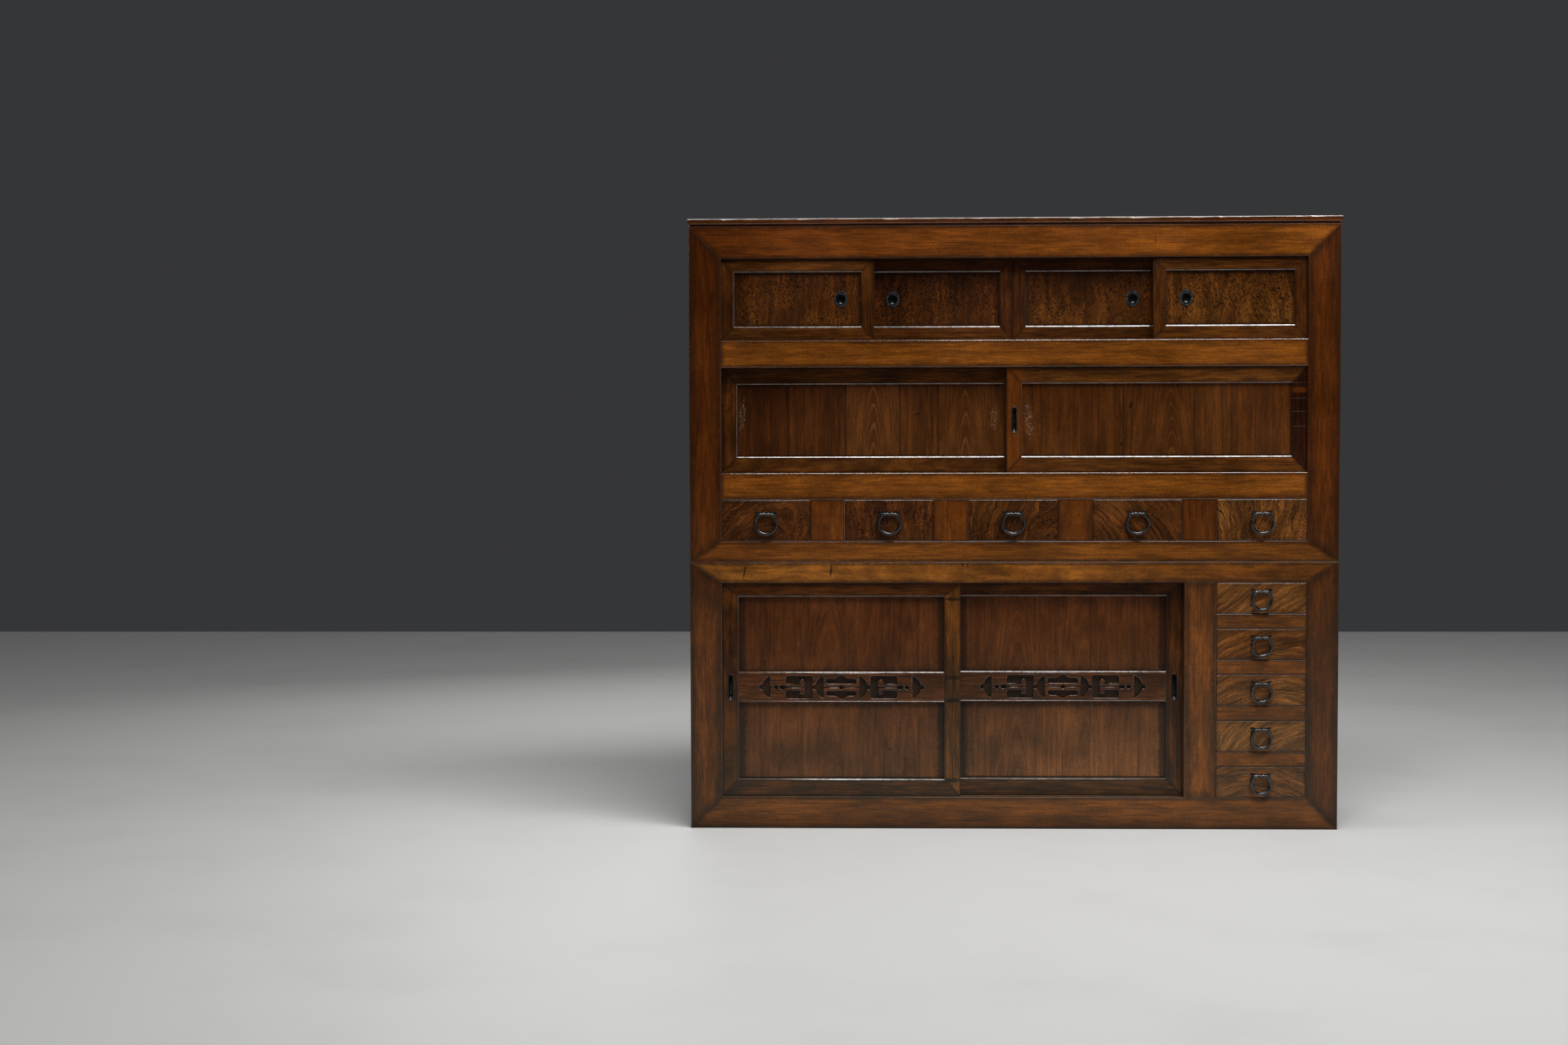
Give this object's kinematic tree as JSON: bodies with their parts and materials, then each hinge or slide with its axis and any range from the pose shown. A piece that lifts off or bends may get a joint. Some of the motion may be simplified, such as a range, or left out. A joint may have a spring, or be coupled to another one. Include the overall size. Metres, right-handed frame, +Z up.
{
  "type": "kitchen tansu cabinet",
  "caption": "Wide two-section Japanese kitchen chest in lacquered wood with sliding panelled doors, pierced rails, burl-fronted drawers, iron ring pulls and finger cups.",
  "frame": {"origin": "on the floor, at the middle of the overall box", "axes": "+Z up, -Y out of the front, +X to the right as seen from the front"},
  "size_m": [1.825, 0.4676, 1.7201],
  "materials": {
    "frame_wood": "satin amber-brown lacquer over straight-grained wood, worn pale along the arrises",
    "door_wood": "satin red-brown lacquer",
    "burl": "lacquered burl with dense curling figure",
    "cedar": "stained cedar boards with open straight grain",
    "carcass_wood": "thin brown stain on planed softwood",
    "black_iron": "blackened wrought iron, rubbed bright on the edges"
  },
  "bodies": {
    "case": {"lower_face_frame": "frame_wood", "lower_left_side": "carcass_wood", "lower_right_side": "carcass_wood", "lower_back": "carcass_wood", "lower_floor": "carcass_wood", "lower_drawer_rack": "carcass_wood", "lower_top_board": "carcass_wood", "upper_face_frame": "frame_wood", "upper_left_side": "carcass_wood", "upper_right_side": "carcass_wood", "upper_back": "carcass_wood", "upper_drawer_floor": "carcass_wood", "upper_dust_board": "carcass_wood", "upper_shelf": "carcass_wood", "upper_top_board": "frame_wood"},
    "top_door_1": {"top_door_1_frame": "door_wood", "top_door_1_panel": "burl", "top_door_1_pull": "black_iron"},
    "top_door_2": {"top_door_2_frame": "door_wood", "top_door_2_panel": "burl", "top_door_2_pull": "black_iron"},
    "top_door_3": {"top_door_3_frame": "door_wood", "top_door_3_panel": "burl", "top_door_3_pull": "black_iron"},
    "top_door_4": {"top_door_4_frame": "door_wood", "top_door_4_panel": "burl", "top_door_4_pull": "black_iron"},
    "middle_door_left": {"middle_door_left_frame": "door_wood", "middle_door_left_panel": "cedar"},
    "middle_door_right": {"middle_door_right_frame": "door_wood", "middle_door_right_panel": "cedar", "middle_door_right_pull": "black_iron"},
    "lower_door_left": {"lower_door_left_frame": "door_wood", "lower_door_left_panel": "cedar", "lower_door_left_carved_rail": "cedar", "lower_door_left_pull": "black_iron"},
    "lower_door_right": {"lower_door_right_frame": "door_wood", "lower_door_right_panel": "cedar", "lower_door_right_carved_rail": "cedar", "lower_door_right_pull": "black_iron"},
    "upper_drawer_1": {"upper_drawer_1": "burl"},
    "upper_ring_1": {"upper_ring_1": "black_iron"},
    "upper_drawer_2": {"upper_drawer_2": "burl"},
    "upper_ring_2": {"upper_ring_2": "black_iron"},
    "upper_drawer_3": {"upper_drawer_3": "burl"},
    "upper_ring_3": {"upper_ring_3": "black_iron"},
    "upper_drawer_4": {"upper_drawer_4": "burl"},
    "upper_ring_4": {"upper_ring_4": "black_iron"},
    "upper_drawer_5": {"upper_drawer_5": "burl"},
    "upper_ring_5": {"upper_ring_5": "black_iron"},
    "lower_drawer_1": {"lower_drawer_1": "burl"},
    "lower_ring_1": {"lower_ring_1": "black_iron"},
    "lower_drawer_2": {"lower_drawer_2": "burl"},
    "lower_ring_2": {"lower_ring_2": "black_iron"},
    "lower_drawer_3": {"lower_drawer_3": "burl"},
    "lower_ring_3": {"lower_ring_3": "black_iron"},
    "lower_drawer_4": {"lower_drawer_4": "burl"},
    "lower_ring_4": {"lower_ring_4": "black_iron"},
    "lower_drawer_5": {"lower_drawer_5": "burl"},
    "lower_ring_5": {"lower_ring_5": "black_iron"}
  },
  "joints": [
    {"name": "top_door_1_slide", "type": "slide", "parent": "case", "child": "top_door_1", "axis": [1, 0, 0], "range_m": [0, 0.778]},
    {"name": "top_door_2_slide", "type": "slide", "parent": "case", "child": "top_door_2", "axis": [1, 0, 0], "range_m": [-0.389, 0]},
    {"name": "top_door_3_slide", "type": "slide", "parent": "case", "child": "top_door_3", "axis": [1, 0, 0], "range_m": [0, 0.389]},
    {"name": "top_door_4_slide", "type": "slide", "parent": "case", "child": "top_door_4", "axis": [1, 0, 0], "range_m": [-0.778, 0]},
    {"name": "middle_door_left_slide", "type": "slide", "parent": "case", "child": "middle_door_left", "axis": [1, 0, 0], "range_m": [0, 0.801]},
    {"name": "middle_door_right_slide", "type": "slide", "parent": "case", "child": "middle_door_right", "axis": [1, 0, 0], "range_m": [-0.801, 0]},
    {"name": "lower_door_left_slide", "type": "slide", "parent": "case", "child": "lower_door_left", "axis": [1, 0, 0], "range_m": [0, 0.626]},
    {"name": "lower_door_right_slide", "type": "slide", "parent": "case", "child": "lower_door_right", "axis": [1, 0, 0], "range_m": [-0.626, 0]},
    {"name": "upper_drawer_1_slide", "type": "slide", "parent": "case", "child": "upper_drawer_1", "axis": [0, -1, 0], "range_m": [0, 0.3]},
    {"name": "upper_ring_1_swing", "type": "hinge", "parent": "upper_drawer_1", "child": "upper_ring_1", "pos_m": [-0.695, -0.22875, 0.8908], "axis": [-1, 0, 0], "range_deg": [0, 175]},
    {"name": "upper_drawer_2_slide", "type": "slide", "parent": "case", "child": "upper_drawer_2", "axis": [0, -1, 0], "range_m": [0, 0.3]},
    {"name": "upper_ring_2_swing", "type": "hinge", "parent": "upper_drawer_2", "child": "upper_ring_2", "pos_m": [-0.3475, -0.22875, 0.8908], "axis": [-1, 0, 0], "range_deg": [0, 175]},
    {"name": "upper_drawer_3_slide", "type": "slide", "parent": "case", "child": "upper_drawer_3", "axis": [0, -1, 0], "range_m": [0, 0.3]},
    {"name": "upper_ring_3_swing", "type": "hinge", "parent": "upper_drawer_3", "child": "upper_ring_3", "pos_m": [0, -0.22875, 0.8908], "axis": [-1, 0, 0], "range_deg": [0, 175]},
    {"name": "upper_drawer_4_slide", "type": "slide", "parent": "case", "child": "upper_drawer_4", "axis": [0, -1, 0], "range_m": [0, 0.3]},
    {"name": "upper_ring_4_swing", "type": "hinge", "parent": "upper_drawer_4", "child": "upper_ring_4", "pos_m": [0.3475, -0.22875, 0.8908], "axis": [-1, 0, 0], "range_deg": [0, 175]},
    {"name": "upper_drawer_5_slide", "type": "slide", "parent": "case", "child": "upper_drawer_5", "axis": [0, -1, 0], "range_m": [0, 0.3]},
    {"name": "upper_ring_5_swing", "type": "hinge", "parent": "upper_drawer_5", "child": "upper_ring_5", "pos_m": [0.695, -0.22875, 0.8908], "axis": [-1, 0, 0], "range_deg": [0, 175]},
    {"name": "lower_drawer_1_slide", "type": "slide", "parent": "case", "child": "lower_drawer_1", "axis": [0, -1, 0], "range_m": [0, 0.3]},
    {"name": "lower_ring_1_swing", "type": "hinge", "parent": "lower_drawer_1", "child": "lower_ring_1", "pos_m": [0.695, -0.22875, 0.6711], "axis": [-1, 0, 0], "range_deg": [0, 175]},
    {"name": "lower_drawer_2_slide", "type": "slide", "parent": "case", "child": "lower_drawer_2", "axis": [0, -1, 0], "range_m": [0, 0.3]},
    {"name": "lower_ring_2_swing", "type": "hinge", "parent": "lower_drawer_2", "child": "lower_ring_2", "pos_m": [0.695, -0.22875, 0.5413], "axis": [-1, 0, 0], "range_deg": [0, 175]},
    {"name": "lower_drawer_3_slide", "type": "slide", "parent": "case", "child": "lower_drawer_3", "axis": [0, -1, 0], "range_m": [0, 0.3]},
    {"name": "lower_ring_3_swing", "type": "hinge", "parent": "lower_drawer_3", "child": "lower_ring_3", "pos_m": [0.695, -0.22875, 0.4115], "axis": [-1, 0, 0], "range_deg": [0, 175]},
    {"name": "lower_drawer_4_slide", "type": "slide", "parent": "case", "child": "lower_drawer_4", "axis": [0, -1, 0], "range_m": [0, 0.3]},
    {"name": "lower_ring_4_swing", "type": "hinge", "parent": "lower_drawer_4", "child": "lower_ring_4", "pos_m": [0.695, -0.22875, 0.2817], "axis": [-1, 0, 0], "range_deg": [0, 175]},
    {"name": "lower_drawer_5_slide", "type": "slide", "parent": "case", "child": "lower_drawer_5", "axis": [0, -1, 0], "range_m": [0, 0.3]},
    {"name": "lower_ring_5_swing", "type": "hinge", "parent": "lower_drawer_5", "child": "lower_ring_5", "pos_m": [0.695, -0.22875, 0.1519], "axis": [-1, 0, 0], "range_deg": [0, 175]}
  ]
}
